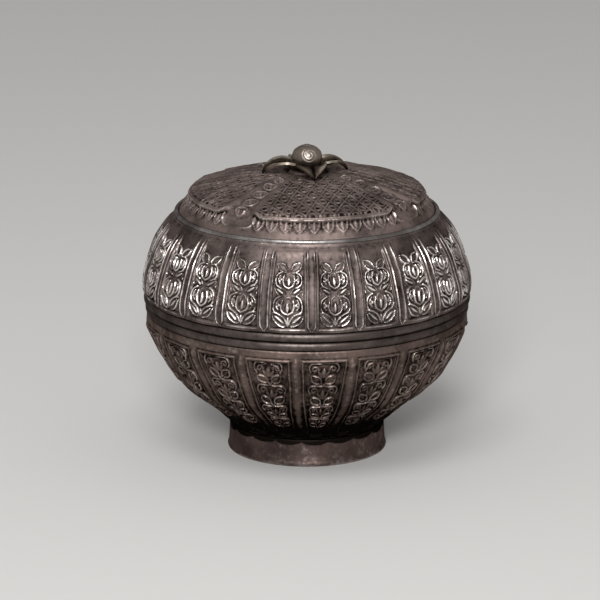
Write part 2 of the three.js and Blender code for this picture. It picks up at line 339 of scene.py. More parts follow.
# %% [markdown]
# ## Outlines and strokes
# The box's outlines are smooth curves through a few points, in millimetres from the axis and from
# the table. The carving is laid out flat, as a silversmith draws it: millimetres across the panel
# and millimetres along the outline. A few strokes are enough for all of it: a raised line, a leaf
# with a rim and a vein, a plain petal, a dome and a dot. Each stroke says which stretch of the
# outline it covers, so that a row of points asks only the strokes that cross it.

# %% Outlines and strokes
def catmull(a, b, c, d, t):
    start, end = (c - a) / 2, (d - b) / 2
    return (2 * b - 2 * c + start + end) * t**3 + (3 * c - 3 * b - 2 * start - end) * t**2 + start * t + b


def smooth_curve(points, steps=24):
    last = len(points) - 1
    curve = []
    for k in range(last):
        four = (points[max(k - 1, 0)], points[k], points[k + 1], points[min(k + 2, last)])
        for i in range(steps):
            curve.append(tuple(catmull(*axis, i / steps) for axis in zip(*four)))
    return curve + [tuple(points[last])]


class Outline:
    """A curve of radius and height in mm, read by the length along it."""

    def __init__(self, curve):
        self.curve = curve
        self.lengths = [0.0]
        for a, b in zip(curve, curve[1:]):
            self.lengths.append(self.lengths[-1] + math.dist(a, b))
        self.total = self.lengths[-1]

    def at(self, length):
        """Radius, height, and the outward normal's radius and height."""
        k = min(max(bisect.bisect(self.lengths, length), 1), len(self.curve) - 1)
        (r0, z0), (r1, z1) = self.curve[k - 1], self.curve[k]
        span = self.lengths[k] - self.lengths[k - 1]
        t = (length - self.lengths[k - 1]) / span
        return r0 + (r1 - r0) * t, z0 + (z1 - z0) * t, (z1 - z0) / span, (r0 - r1) / span


def smoothstep(low, high, x):
    t = min(max((x - low) / (high - low), 0.0), 1.0)
    return t * t * (3 - 2 * t)


def mix(a, b, t):
    return a + (b - a) * t


def ridge(distance, half_width):
    if abs(distance) >= half_width:
        return 0.0
    return 0.5 + 0.5 * math.cos(math.pi * distance / half_width)


def raised_line(points, half_width=0.36, strength=1.0, steps=4):
    """A rounded line along a smooth curve through the points."""
    curve = smooth_curve(points, steps)
    (left, right), (low, high) = ((min(axis) - half_width, max(axis) + half_width) for axis in zip(*curve))
    legs = [(a, b[0] - a[0], b[1] - a[1]) for a, b in zip(curve, curve[1:])]

    def height(u, s):
        if not (left < u < right and low < s < high):
            return 0.0
        nearest = half_width
        for (x, y), dx, dy in legs:
            t = min(max(((u - x) * dx + (s - y) * dy) / (dx * dx + dy * dy), 0), 1)
            nearest = min(nearest, math.hypot(u - x - t * dx, s - y - t * dy))
        return strength * ridge(nearest, half_width)
    return low, high, height


def leaf_lines(base, tip, width, full):
    """Reads a point as its share of the leaf's length, its distance from the middle, and the half width."""
    du, ds = tip[0] - base[0], tip[1] - base[1]
    length = math.hypot(du, ds)

    def read(u, s):
        along = ((u - base[0]) * du + (s - base[1]) * ds) / length**2
        across = abs((u - base[0]) * ds - (s - base[1]) * du) / length
        half = width / 2 * math.sin(math.pi * min(max(along, 0.0), 1.0) ** full) ** 0.8
        return along, across, half

    low, high = sorted((base[1], tip[1]))
    return read, low - width / 2, high + width / 2


def leaf(base, tip, width, rim=0.34, vein=0.7, hollow=0.25, strength=1.0, full=0.85):
    """A leaf with a raised rim, a raised vein, and a hollow between them."""
    read, low, high = leaf_lines(base, tip, width, full)

    def height(u, s):
        along, across, half = read(u, s)
        if not 0 < along < 1 or across > half + rim:
            return 0.0
        ends = smoothstep(0, 0.07, along) * smoothstep(1, 0.93, along)
        inside = smoothstep(half, half - rim, across)
        middle = ridge(across, 0.32) * smoothstep(0.08, 0.25, along) * smoothstep(0.92, 0.7, along)
        return strength * max(ridge(across - half, rim) * ends, hollow * inside, vein * middle * inside)
    return low - rim, high + rim, height


def petal(base, tip, width, strength=1.0, full=0.85):
    """A plain domed leaf."""
    read, low, high = leaf_lines(base, tip, width, full)

    def height(u, s):
        along, across, half = read(u, s)
        if not 0 < along < 1 or across >= half:
            return 0.0
        return strength * (1 - (across / half) ** 2) ** 0.5
    return low, high, height


def dome(centre, radius, strength=1.0):
    def height(u, s):
        share = math.hypot(u - centre[0], s - centre[1]) / radius
        return strength * (1 - share**2) ** 0.5 if share < 1 else 0.0
    return centre[1] - radius, centre[1] + radius, height


def dot(centre, radius, strength=1.0):
    def height(u, s):
        return strength * ridge(math.hypot(u - centre[0], s - centre[1]), radius)
    return centre[1] - radius, centre[1] + radius, height


STRAY = 0.30
STRAY_WAVE = 5.0
PANEL_STEP = 3.7
HAND_SEED = 11
noise.seed_set(HAND_SEED)


def crossing(strokes, s):
    """The heights of the strokes that may reach the row at length s."""
    return [height for low, high, height in strokes if low - STRAY < s < high + STRAY]


def highest(heights, u, s):
    return max((height(u, s) for height in heights), default=0.0)


def stray(u, s, panel):
    """How far the chaser's hand strayed here in mm, so that no two panels are alike."""
    shift = noise.noise_vector(Vector((u / STRAY_WAVE, s / STRAY_WAVE, PANEL_STEP * panel)))
    return STRAY * shift.x, STRAY * shift.y


def turned_point(azimuth, radius, height):
    return Vector((radius * math.sin(azimuth), -radius * math.cos(azimuth), height)) * MM


print("strokes: raised_line, leaf, petal, dome, dot")

# %% [markdown]
# ## From one sector to a whole shell
# The frame of ribs repeats round the axis, so only one sector of it is made: a flat grid whose
# points are moved onto the outline and raised by the carving's height. The spin operator then copies
# it round. The back of the sheet is plain, so it is a coarse profile spun on its own, and bridges
# close the gap between the two along the rims. The chased fields need far finer points than the
# ribs, and no two are alike. So each is a thin plate of its own, which lies flush in a shallow seat.
# The relief attribute compares each point with its surroundings: low in a groove, high on a crest.

# %% Sector, spin and bridge
FULL_TURN = 2 * math.pi
WALL_STEPS = 96
DOUBLES = 2e-6
HIDDEN_TONE = 0.3
AXIS = {"cent": (0, 0, 0), "axis": (0, 0, 1)}


def row_means(grid, reach):
    """Each value's mean over its neighbours in the row. The result is turned, rows for columns."""
    turned = []
    for line in grid:
        sums = [0.0] + list(itertools.accumulate(line))
        ends = [(max(k - reach, 0), min(k + reach + 1, len(line))) for k in range(len(line))]
        turned.append([(sums[b] - sums[a]) / (b - a) for a, b in ends])
    return list(zip(*turned))


def stepped(*stops):
    """Places from start, count, place, count, ..., end, evenly spaced between the places."""
    places = [stops[0]]
    for start, count, end in zip(stops[::2], stops[1::2], stops[2::2]):
        places += [mix(start, end, (i + 1) / count) for i in range(count)]
    return places


CREST_SPAN = 0.65
CREST_SHARE = 0.60


def carve(rows, places, carving, reach):
    """Heights in mm and relief values at places(s) in each row. A crest is judged within the reach."""
    heights, tones = [], []
    for s in rows:
        read = carving(s)
        pairs = [read(u) for u in places(s)]
        heights.append([pair[0] for pair in pairs])
        tones.append([pair[1] for pair in pairs])
    level = row_means(row_means(heights, reach), reach)
    relief = []
    for line, means, row_tones in zip(heights, level, tones):
        crests = [0.5 + (height - mean) / CREST_SPAN for height, mean in zip(line, means)]
        relief.append([min(max(mix(t, c, CREST_SHARE), 0.0), 1.0) for t, c in zip(row_tones, crests)])
    return heights, relief


def new_sheet():
    bm = bmesh.new()
    bm.verts.layers.float.new("relief")
    return bm


def relief_layer(bm):
    return bm.verts.layers.float["relief"]


def lay_grid(bm, rows, places, heights, relief, outline, centre):
    """A grid whose points lie at places(s) across the panel and stand off the outline by the heights."""
    layer = relief_layer(bm)
    wide, tall = len(heights[0]) - 1, len(rows) - 1
    made = bmesh.ops.create_grid(bm, x_segments=wide, y_segments=tall, size=1)["verts"]
    readings = [(outline.at(s), places(s)) for s in rows]
    for vert in made:
        i, j = round((vert.co.x + 1) / 2 * wide), round((vert.co.y + 1) / 2 * tall)
        (radius, height, out, up), across = readings[j]
        lift = heights[j][i]
        vert.co = turned_point(centre + across[i] / radius, radius + out * lift, height + up * lift)
        vert[layer] = relief[j][i]


SEAM_GAP = 0.03
SEAT_DEPTH = 0.16
PLATE_BACK = 0.12
RIB_STEPS = 12
SEAT_SHARES = (-0.6, -0.2, 0.2, 0.6)
SHELL_REACH = 3
FIELD_REACH = 4


def frame_sector(shell):
    """A sector of the shell with its ribs, and a seat for the field between them."""
    bm = new_sheet()

    def places(s):
        half_pitch = math.pi * shell.outline.at(s)[0] / shell.panels
        left = [shell.edge * k / RIB_STEPS - half_pitch for k in range(RIB_STEPS + 1)]
        left.append(left[-1] + SEAM_GAP)
        return left + [-left[-1] * share for share in SEAT_SHARES] + [-u for u in reversed(left)]

    heights, relief = carve(shell.rows, places, shell.carving, SHELL_REACH)
    for s, line in zip(shell.rows, heights):
        if shell.seat_ends[0] < s < shell.seat_ends[1]:
            read, across = shell.carving(s), places(s)
            for i in range(RIB_STEPS + 1, len(across) - RIB_STEPS - 1):
                line[i] = read(across[i], True)[0] - SEAT_DEPTH
    centre = shell.first_rib + math.pi / shell.panels
    lay_grid(bm, shell.rows, places, heights, relief, shell.outline, centre)
    return bm


def field_plate(bm, shell, panel):
    """A chased field as a thin closed plate: the grid runs across its front and back behind it."""
    front = [mix(-1, 1, k / shell.columns) for k in range(shell.columns + 1)]
    behind = [1] + [-share for share in SEAT_SHARES] + [-1, -1]

    def carving(s):
        return shell.carving(s, panel)

    def places(s):
        inner = math.pi * shell.outline.at(s)[0] / shell.panels - shell.edge - 2 * SEAM_GAP
        return [inner * share for share in front]

    def all_round(s):
        across = places(s)
        return across + [across[-1] * share for share in behind]

    heights, relief = carve(shell.field_rows, places, carving, FIELD_REACH)
    for s, line, tones in zip(shell.field_rows, heights, relief):
        read = carving(s)
        back = [read(u, True)[0] - PLATE_BACK for u in all_round(s)[shell.columns + 1:-1]]
        line += back + [line[0]]
        tones += [HIDDEN_TONE] * len(back) + [tones[0]]
    centre = shell.first_rib + (panel + 0.5) * (FULL_TURN / shell.panels)
    lay_grid(bm, shell.field_rows, all_round, heights, relief, shell.outline, centre)


def copy_round(bm, count):
    everything = bm.verts[:] + bm.edges[:] + bm.faces[:]
    angle = FULL_TURN * (count - 1) / count
    bmesh.ops.spin(bm, geom=everything, angle=angle, steps=count - 1, use_duplicate=True, **AXIS)
    bmesh.ops.remove_doubles(bm, verts=bm.verts, dist=DOUBLES)


def spin_profile(profile, steps, tone=0.5):
    """A plain wall as a bmesh of its own: a profile of radius and height in mm, turned once round."""
    bm = new_sheet()
    closed = profile[0] == profile[-1]
    points = profile[:-1] if closed else profile
    verts = [bm.verts.new(turned_point(0, radius, height)) for radius, height in points]
    pairs = list(zip(verts, verts[1:])) + ([(verts[-1], verts[0])] if closed else [])
    edges = [bm.edges.new(pair) for pair in pairs]
    bmesh.ops.spin(bm, geom=verts + edges, angle=FULL_TURN, steps=steps, use_merge=True, **AXIS)
    bmesh.ops.remove_doubles(bm, verts=bm.verts, dist=DOUBLES)
    layer = relief_layer(bm)
    for vert in bm.verts:
        vert[layer] = tone(vert.co) if callable(tone) else tone
    return bm


def join(bm, other):
    """Adds the other bmesh to this one, by way of a mesh."""
    carrier = bpy.data.meshes.new("carrier")
    other.to_mesh(carrier)
    other.free()
    bm.from_mesh(carrier)
    bpy.data.meshes.remove(carrier)


def open_rims(bm):
    """The loops of open edges, the lowest first."""
    left = {e for e in bm.edges if len(e.link_faces) == 1}
    loops = []
    while left:
        loop, front = [], [left.pop()]
        while front:
            edge = front.pop()
            loop.append(edge)
            near = {e for v in edge.verts for e in v.link_edges} & left
            left -= near
            front.extend(near)
        loops.append(loop)
    return sorted(loops, key=lambda loop: sum(e.verts[0].co.z for e in loop) / len(loop))


def bridge_rims(bm, first, second):
    """Joins the rims in pairs. A pair's heights differ, or the bridge could cross the mouth."""
    for a, b in zip(first, second):
        made = bmesh.ops.bridge_loops(bm, edges=a + b)["edges"]
        widest = max(edge.calc_length() for edge in made) / MM
        print(f"bridged rims of {len(a)} and {len(b)} edges, widest gap {widest:.1f} mm")


RIM_REST = 2
FINE_BEAT = 0.3


def beat_by_hand(bm, drift, wavelength, low, high):
    """Moves the points a little, so that the sheet isn't quite even. The two rims stay."""
    for vert in bm.verts:
        height = vert.co.z / MM
        weight = smoothstep(low, low + RIM_REST, height) * smoothstep(high, high - RIM_REST, height)
        coarse = noise.noise_vector(vert.co / (wavelength * MM))
        fine = noise.noise_vector(vert.co / (FINE_BEAT * wavelength * MM))
        vert.co += (coarse + FINE_BEAT * fine) * drift * MM * weight


def finish_piece(bm, name, node, paint, body, slot, sharp_degrees=55):
    bmesh.ops.remove_doubles(bm, verts=bm.verts, dist=DOUBLES)
    bmesh.ops.recalc_face_normals(bm, faces=bm.faces)
    open_edges = sum(1 for e in bm.edges if len(e.link_faces) != 2)
    triangles = sum(len(f.verts) - 2 for f in bm.faces)
    mesh = bpy.data.meshes.new(name)
    bm.to_mesh(mesh)
    bm.free()
    mesh.shade_smooth()
    mesh.set_sharp_from_angle(angle=math.radians(sharp_degrees))
    mesh.materials.append(paint)
    piece = bpy.data.objects.new(name, mesh)
    scene.collection.objects.link(piece)
    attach(piece, body)
    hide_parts(node)
    print(f"{name}: {triangles} triangles, {open_edges} open edges")


# %% [markdown]
# ## The lid's panels
# Twenty-two panels run up the lid. The rib between two of them is a flat band with a fine raised
# line along each side. The field between the ribs is sunk, and holds one plant: a splayed pair of
# leaves at the bottom, then twice a lotus cup between two small flowers and two curved stems, with
# a pair of leaves above each. Above the plant the lid is plain. The strokes are given for the right
# half, and the carving mirrors them.

# %% The lid's carving
SEAM_Z = 50
LID_PANELS = 22
LID_OUTLINE = Outline([(54.0, 53.3)] + smooth_curve([
    (54.2, 54.2), (54.4, 55.6), (54.15, 59.6), (52.4, 65.6), (50.0, 71.6), (46.0, 77.4), (44.3, 79.2),
    (43.75, 79.85),
]))
LID_TOP_FADE = (26.6, 24.2)
LID_RIB_LINE = 1.22
LID_GROOVE = 1.8
LID_EDGE_LINE = 2.35
LID_SINKS = (2.05, 2.65)
LID_CLEARS = (2.5, 2.9)
LID_BAND = (0.55, 0.95)
LID_SWELL = 0.3
LID_HOLE_DEPTH = 0.6
LID_LIFT = {"sunk": -0.70, "plant": 0.68, "line": 0.34, "band": -0.10, "border": 0.14, "groove": -0.1}
LID_TONE = {"plant": 0.88, "border": 0.14, "band": -0.10, "edge_line": 0.22, "groove": -0.26}
LID_LINE_TONES = (0.40, 0.56)
SHOULDER_TONE = 0.46
LID_RIB_TONE = 0.50
LID_FIELD_TONE = 0.45


def weighed(strengths, parts):
    """The parts of a carving, each times its strength, added up."""
    return sum(strength * parts[name] for name, strength in strengths.items())


LOTUS_CUP = ((0.36, 0.18), (0.48, 0.5), (0.40, 0.80))
LOTUS_TIP = ((0, 0.98), (0.22, 0.85), (0.22, 0.6))
LOTUS_FLOWER = ((0.70, 0.80), (0.86, 0.62), (0.84, 0.42), (0.66, 0.28))
LOTUS_STEM = ((0.60, 1.0), (0.97, 0.82), (1.10, 0.48), (0.98, 0.18), (0.60, 0.02))
LOTUS_ROOT = 0.05
LOTUS_HOLES = ((0.62, 0.62), (0.76, 0.54), (0.64, 0.42))
LOTUSES = ((5.9, 4.5, 6.2), (14.5, 4.2, 5.4))


def lotus_points(shares, low, wide, tall):
    return [(across * wide, low + up * tall) for across, up in shares]


def lotus(*place):
    """A cup with a bud in it, a small flower beside it, and a curved stem round them."""
    foot, head, heart = lotus_points(((0, 0.14), (0, 0.74), (0.68, 0.52)), *place)
    return [
        raised_line([(0, place[0] + LOTUS_ROOT)] + lotus_points(LOTUS_CUP, *place), 0.56),
        petal(foot, head, 1.15, 0.95),
        raised_line(lotus_points(LOTUS_TIP, *place), 0.26, 0.35),
        raised_line(lotus_points(LOTUS_FLOWER, *place), 0.38, 0.85),
        dome(heart, 0.95, 0.75),
        raised_line(lotus_points(LOTUS_STEM, *place), 0.52),
    ]


LID_PLANT = (
    [leaf((0.5, 2.3), (5.4, 6.6), 3.0, rim=0.44, vein=0, hollow=0.1), petal((1.3, 3.2), (4.5, 5.8), 0.95)]
    + [petal((0, 2.2), (0, 5.2), 1.1, 0.6)]
    + lotus(*LOTUSES[0])
    + [leaf((0.7, 12.3), (4.9, 14.9), 2.4, rim=0.24, vein=0, hollow=0, strength=0.5)]
    + [petal((1.4, 12.8), (4.5, 14.6), 0.95), raised_line([(5.2, 15.8), (5.5, 14.2), (5.0, 12.6)], 0.48)]
    + lotus(*LOTUSES[1])
    + [leaf((0.5, 19.9), (4.3, 22.9), 2.5, rim=0.48, vein=0.3, hollow=0.1, full=1.0)]
)
LID_CUTS = [dot(hole, 0.36) for place in LOTUSES for hole in lotus_points(LOTUS_HOLES, *place)]


def lid_carving(s, panel=None):
    """Reads the lid's height and tone along one row. Without a panel number there is no plant."""
    half_pitch = math.pi * LID_OUTLINE.at(s)[0] / LID_PANELS
    spread = mix(0.15, 1.0, smoothstep(0.1, 2.4, s)) * mix(1.0, 0.85, smoothstep(15, 28, s))
    top = smoothstep(*LID_TOP_FADE, s)
    open_field = top * smoothstep(1.1, 1.8, s)
    line_fade = smoothstep(28.4, 25.5, s) * smoothstep(0.0, 0.4, s)
    band_fade = smoothstep(28, 24, s) * smoothstep(1.2, 2.6, s)
    shelf = smoothstep(29.4, 28.4, s)
    plants = crossing(LID_PLANT, s) if panel is not None else []
    cuts = crossing(LID_CUTS, s) if plants else []
    squeeze = mix(1.0, 0.90, s / 24)
    plain_tone, line_tone = mix(SHOULDER_TONE, LID_RIB_TONE, top), mix(*LID_LINE_TONES, top)

    def read(u, seat=False):
        from_rib = half_pitch - abs(u)
        swell = LID_SWELL * math.cos(math.pi * min(abs(u) / half_pitch, 1) / 2) * top
        base = (swell - LID_SWELL) * shelf
        if seat:
            return base + LID_LIFT["sunk"] * open_field, HIDDEN_TONE
        plant = 0.0
        if plants:
            du, ds = stray(u, s, panel)
            spot = (abs(u + du) / squeeze, s + ds)
            plant = highest(plants, *spot) - LID_HOLE_DEPTH * highest(cuts, *spot)
        parts = {
            "sunk": smoothstep(*LID_SINKS, from_rib) * open_field,
            "plant": plant * smoothstep(*LID_CLEARS, from_rib),
            "line": ridge(from_rib - LID_RIB_LINE * spread, 0.28) * line_fade,
            "edge_line": ridge(from_rib - LID_EDGE_LINE, 0.30) * open_field,
            "band": (1 - smoothstep(*LID_BAND, from_rib)) * band_fade,
            "groove": ridge(from_rib - LID_GROOVE * spread, 0.4) * line_fade,
            "border": ridge(s - 1.0, 0.28) * smoothstep(1.2, 2.0, from_rib),
        }
        tone = mix(plain_tone, LID_FIELD_TONE, parts["sunk"]) + line_tone * parts["line"]
        return base + weighed(LID_LIFT, parts), tone + weighed(LID_TONE, parts)

    return read


# %% [markdown]
# The seat's points are coarse, because a plate hides them. The plain wall behind starts at the
# ledge over the moulding, goes down the neck and round the mouth, and climbs inside to the shelf
# that carries the top plate. The twenty-two fields are laid in two pieces of eleven.

# %% The lid shell and its fields
SHELL_SHARP = 75
MOUTH = ((51.3, 0.35), (51.1, 0.15), (50.4, 0.15), (50.2, 0.35))
LID_WALL = [(53.7, 53.3), (51.3, 53.3)] + [(radius, SEAM_Z + gap) for radius, gap in MOUTH] + [
    (50.2, 53.9), (52.2, 55.6), (52.2, 59.6), (50.4, 65.6), (48.0, 71.6), (44.0, 77.2),
    (42.6, 78.3), (37.8, 78.3), (37.6, 78.5), (37.6, 79.2), (37.8, 79.4), (43.0, 79.4), (43.5, 79.7),
]


def carved_shell(sector, copies, hand, walls):
    """Copies the sector round, beats it, and closes it with the plain walls behind."""
    copy_round(sector, copies)
    beat_by_hand(sector, *hand)
    for wall in walls:
        join(sector, spin_profile(wall, WALL_STEPS))
    rims = open_rims(sector)
    carved = [loop for loop in rims if len(loop) > WALL_STEPS]
    plain = [loop for loop in rims if len(loop) <= WALL_STEPS]
    bridge_rims(sector, carved, plain)
    return sector


def chased_fields(shell, panels):
    """The plates of some panels, closed at both ends and beaten as the shell is."""
    bm = new_sheet()
    for panel in panels:
        field_plate(bm, shell, panel)
    bmesh.ops.remove_doubles(bm, verts=bm.verts, dist=DOUBLES)
    bmesh.ops.holes_fill(bm, edges=[edge for edge in bm.edges if len(edge.link_faces) == 1], sides=0)
    beat_by_hand(bm, *shell.beating)
    return bm


def shell_and_fields(shell):
    """The frame of ribs as one piece, and its fields in equal shares."""
    worn = (f"{shell.body}_shell", shell.paint, shell.body, "oxidised_silver", SHELL_SHARP)
    bm = carved_shell(frame_sector(shell), shell.panels, shell.beating, shell.walls)
    finish_piece(bm, f"{shell.body}_shell_carved", *worn)
    share = shell.panels // shell.parts
    for part in range(shell.parts):
        bm = chased_fields(shell, range(share * part, share * part + share))
        finish_piece(bm, f"{shell.body}_fields_{part + 1}", *worn)


LID = SimpleNamespace(
    body="lid", paint=lid_silver, outline=LID_OUTLINE, panels=LID_PANELS, first_rib=math.radians(1.5),
    carving=lid_carving, edge=2.3, seat_ends=(1.72, 27.6), beating=(0.15, 6, 53.3, 79.4), walls=[LID_WALL],
    rows=stepped(0, 8, 1.7, 1, 1.74, 44, 27.55, 1, 27.62, 6, LID_OUTLINE.total),
    field_rows=stepped(1.78, 122, 27.5), columns=56, parts=2,
)
shell_and_fields(LID)

# %% [markdown]
# ## The bowl's panels
# The bowl has eighteen panels, which swell out between rounded ribs. A fine frame line runs beside
# each rib and over the top of each field. The field holds a climbing vine that is repeated and
# grows smaller downwards: a crossing, a pair of oval leaves, a small flame-shaped bud between two
# curls, and the vine that bows out round them to the next crossing. Some panels have an arch at
# the top. The tone grows darker towards the bottom of the bowl, which is painted shade, and the
# plain band at the top is given a lighter tone as painted light.

# %% The bowl's carving
BOWL_PANELS = 18
BOWL_RIB_AZIMUTH = math.radians(-4)
BOWL_FIELD_TOP = 45.0
BOWL_RIB_TOP = 47.0
BOWL_OUTLINE = Outline(smooth_curve([
    (25.3, 9.25), (26.4, 9.9), (33.0, 15.9), (42.8, 23.9), (48.1, 31.8), (52.1, 39.8), (53.0, 43.0),
    (53.1, 46.85),
]))
BOWL_RIB_HALF = 1.9
BOWL_FRAME_LINE = 2.2
BOWL_SINKS = (2.4, 2.85)
BOWL_CLEARS = (2.75, 3.2)
BOWL_LOBES = (0.95, 0.35)
# Painted shade: how much darker the tone grows towards the bottom of the bowl, and between which heights.
BOWL_PAINTED_SHADE = ((0.80, 35, 7), (0.50, 14, 6))
BOWL_LIFT = {"rib": 0.70, "frame": 0.18, "sunk": -0.75, "plant": 0.70, "dark": -0.15}
# painted_corner_glint is a painted highlight at the top corners of each field.
BOWL_TONE = {"frame": 0.42, "painted_corner_glint": 0.4, "plant": 0.55, "dark": -0.35, "band": 0.2}
BAND_TONE = 0.58
BESIDE_TONES = (0.16, 0.80)
BOWL_FIELD_TONE = 0.25
VINE_REACH = 10.2
VINE_ROWS = ((35.4, 1.0, 1.0), (25.8, 0.95, 1.0), (16.8, 0.82, 0.93), (9.0, 0.66, 0.80))
CURL = [(1.6, 6.4), (2.1, 7.5), (3.0, 7.8), (3.7, 7.1), (3.5, 6.2), (2.8, 6.0), (2.5, 6.6)]
BOW = [(0, 9.6), (1.3, 9.2), (2.7, 9.25), (4.0, 9.05), (4.7, 8.1), (4.75, 6.8), (4.2, 5.6)]
VINE = [
    raised_line([(0, -0.3), (0.3, 0.5), (0.9, 1.3)], 0.42),
    leaf((0.75, 0.9), (3.9, 4.0), 2.9, rim=0.50, vein=0.3, hollow=0.15, full=0.95),
    petal((0, 3.4), (0, 7.2), 1.6, 0.75),
    petal((0.35, 3.2), (1.9, 6.1), 1.2, 0.6),
    raised_line(CURL, 0.46, 0.65),
    raised_line(BOW, 0.46),
]
ARCH = [raised_line([(0, 44.2), (1.5, 43.9), (3.0, 43.1), (3.9, 41.6), (4.0, 40.2)], 0.36)]


def bowl_plant(rows, arch, u, s):
    best = highest(arch, u, s)
    for start, wide, tall in rows:
        if start - 0.7 < s < start + VINE_REACH * tall:
            spot = (u / wide, (s - start) / tall)
            best = max(best, highest([h for low, high, h in VINE if low < spot[1] < high], *spot))
    return best


def bowl_carving(s, panel=None):
    """Reads the bowl's height and tone along one row. Without a panel number there is no plant."""
    half_pitch = math.pi * BOWL_OUTLINE.at(s)[0] / BOWL_PANELS
    rib_fade = smoothstep(-0.2, -2.8, s - BOWL_RIB_TOP)
    point = mix(0.40, 1.0, smoothstep(0, -3.2, s - BOWL_RIB_TOP)) * mix(0.8, 1.0, smoothstep(0, 12, s))
    low = smoothstep(0.8, 2.5, s)
    over = s - BOWL_FIELD_TOP
    open_field = smoothstep(0, -0.6, over) * low
    frame_fade = smoothstep(0.9, 0.4, over) * low
    groove = ridge(over - 1.15, 0.45)
    top_line = ridge(over - 0.45, 0.36)
    lobes = mix(*BOWL_LOBES, smoothstep(8, 40, s)) * smoothstep(46.5, 42, s)
    # painted light: the plain band at the top gets a lighter tone
    band = smoothstep(1.2, 2.0, over)
    # painted shade: the tone grows darker towards the bottom of the bowl
    painted_shade = sum(share * smoothstep(high, low_end, s) for share, high, low_end in BOWL_PAINTED_SHADE)
    rows = []
    if panel is not None:
        rows = [row for row in VINE_ROWS if row[0] - 1.2 < s < row[0] + VINE_REACH * row[2] + 0.5]
    arch = crossing(ARCH, s) if rows and panel % 2 else []

    def read(u, seat=False):
        from_rib = half_pitch - abs(u)
        swell = math.cos(math.pi * min(abs(u) / half_pitch, 1) / 2) ** 1.2
        base = -lobes * (1 - swell) - 0.05
        if seat:
            return base + BOWL_LIFT["sunk"] * open_field, HIDDEN_TONE
        plant = 0.0
        if rows:
            du, ds = stray(u, s, panel)
            plant = bowl_plant(rows, arch, abs(u + du), s + ds)
        frame = ridge(from_rib - BOWL_FRAME_LINE, 0.32) * frame_fade
        rib = ridge(from_rib, BOWL_RIB_HALF * point)
        parts = {
            "rib": rib * rib_fade,
            "frame": max(frame, top_line * smoothstep(1.9, BOWL_FRAME_LINE, from_rib)),
            "sunk": smoothstep(*BOWL_SINKS, from_rib) * open_field,
            "plant": plant * smoothstep(*BOWL_CLEARS, from_rib),
            "dark": groove * smoothstep(1.2, 1.8, from_rib),
            # painted highlight at the field's top corners
            "painted_corner_glint": top_line * ridge(from_rib - 2.7, 1.3),
            "band": band,
        }
        tone = mix(BAND_TONE, mix(*BESIDE_TONES, rib), rib_fade)
        tone = mix(tone, BOWL_FIELD_TONE, parts["sunk"]) + weighed(BOWL_TONE, parts) - painted_shade
        return base + weighed(BOWL_LIFT, parts), tone

    return read


# %% [markdown]
# The bowl is closed like the lid: the underside is a plain disc inside the foot ring, and the wall
# behind goes from the ledge under the moulding round the mouth and down to the floor. The eighteen
# fields are laid in three pieces of six.

# %% The bowl shell and its fields
BOWL_WALL = [(52.8, 46.94), (51.3, 46.94)] + [(radius, SEAM_Z - gap) for radius, gap in MOUTH] + [
    (50.2, 46.1), (50.9, 45.3), (50.8, 42.6), (49.8, 39.8), (45.7, 31.8), (40.3, 23.9),
    (30.4, 15.9), (24.6, 10.9), (22.0, 10.3), (0, 10.3),
]
BOWL_UNDERSIDE = [(25.0, 9.1), (15, 9.2), (0, 9.2)]
BOWL = SimpleNamespace(
    body="bowl", paint=bowl_silver, outline=BOWL_OUTLINE, panels=BOWL_PANELS, first_rib=BOWL_RIB_AZIMUTH,
    carving=bowl_carving, edge=2.6, seat_ends=(2.42, 44.92), beating=(0.20, 6, 9.2, 46.8),
    walls=[BOWL_UNDERSIDE, BOWL_WALL],
    rows=stepped(0, 8, 2.4, 1, 2.44, 66, 44.9, 1, 44.94, 14, 47.4, 2, BOWL_OUTLINE.total),
    field_rows=stepped(2.48, 196, 44.86), columns=62, parts=3,
)
shell_and_fields(BOWL)

# %% [markdown]
# ## Mouldings, wire, foot and collar
# These are plain turned parts. Each is a small profile spun with many steps, so that its edge is
# round. The mouldings are half-round, and the wire is a full round. The foot is a band of sheet
# with a slightly thickened lower edge. Its tone holds a painted shadow of the belly, a dark scallop
# under each panel, and a lighter bottom edge that is partly wear and partly a painted highlight.
# The collar is a plain sleeve inside the bowl's mouth. The pin holds the knob, and its head bears
# on the washer under the plate.

# %% Turned parts
ROUND_STEPS = 256
TURNED_SHARP = 40
MOULDING_TONE = 0.8
WIRE_TONE = 0.9
PLAIN_TONE = 0.62
ARC_STEPS = 14
WIRE_SIDES = 20


def half_round(low, high, inner, crest):
    middle, reach = (low + high) / 2, (high - low) / 2
    flat = crest - reach * 0.85
    arc = [math.pi * (i / ARC_STEPS - 0.5) for i in range(ARC_STEPS + 1)]
    bulge = [(flat + (crest - flat) * math.cos(a) ** 0.8, middle + reach * math.sin(a)) for a in arc]
    return [(inner, low), (flat - 0.2, low)] + bulge + [(flat - 0.2, high), (inner, high)]


def full_round(radius, height, reach):
    angles = [FULL_TURN * i / WIRE_SIDES for i in range(WIRE_SIDES)]
    return [(radius + reach * math.cos(a), height + reach * math.sin(a)) for a in angles]


def foot_painted_shadow_and_edge_glint(place):
    """Paints the belly's scalloped shadow on the foot's top, reaching lowest under each panel, and lightens
    the bottom edge: partly wear, partly a painted highlight.
    """
    height, azimuth = place.z / MM, math.atan2(place.x, -place.y)
    bulge = abs(math.sin((azimuth - BOWL_RIB_AZIMUTH) * BOWL_PANELS / 2)) ** 0.6
    # painted shadow: the height where the belly's shadow on the foot ends
    edge = mix(8.4, 7.3, bulge)
    # lighter bottom edge: partly wear, partly a painted highlight
    worn = smoothstep(1.0, 0.3, height) * 0.55
    return mix(0.6 + worn, 0.0, smoothstep(edge - 0.35, edge + 0.25, height))


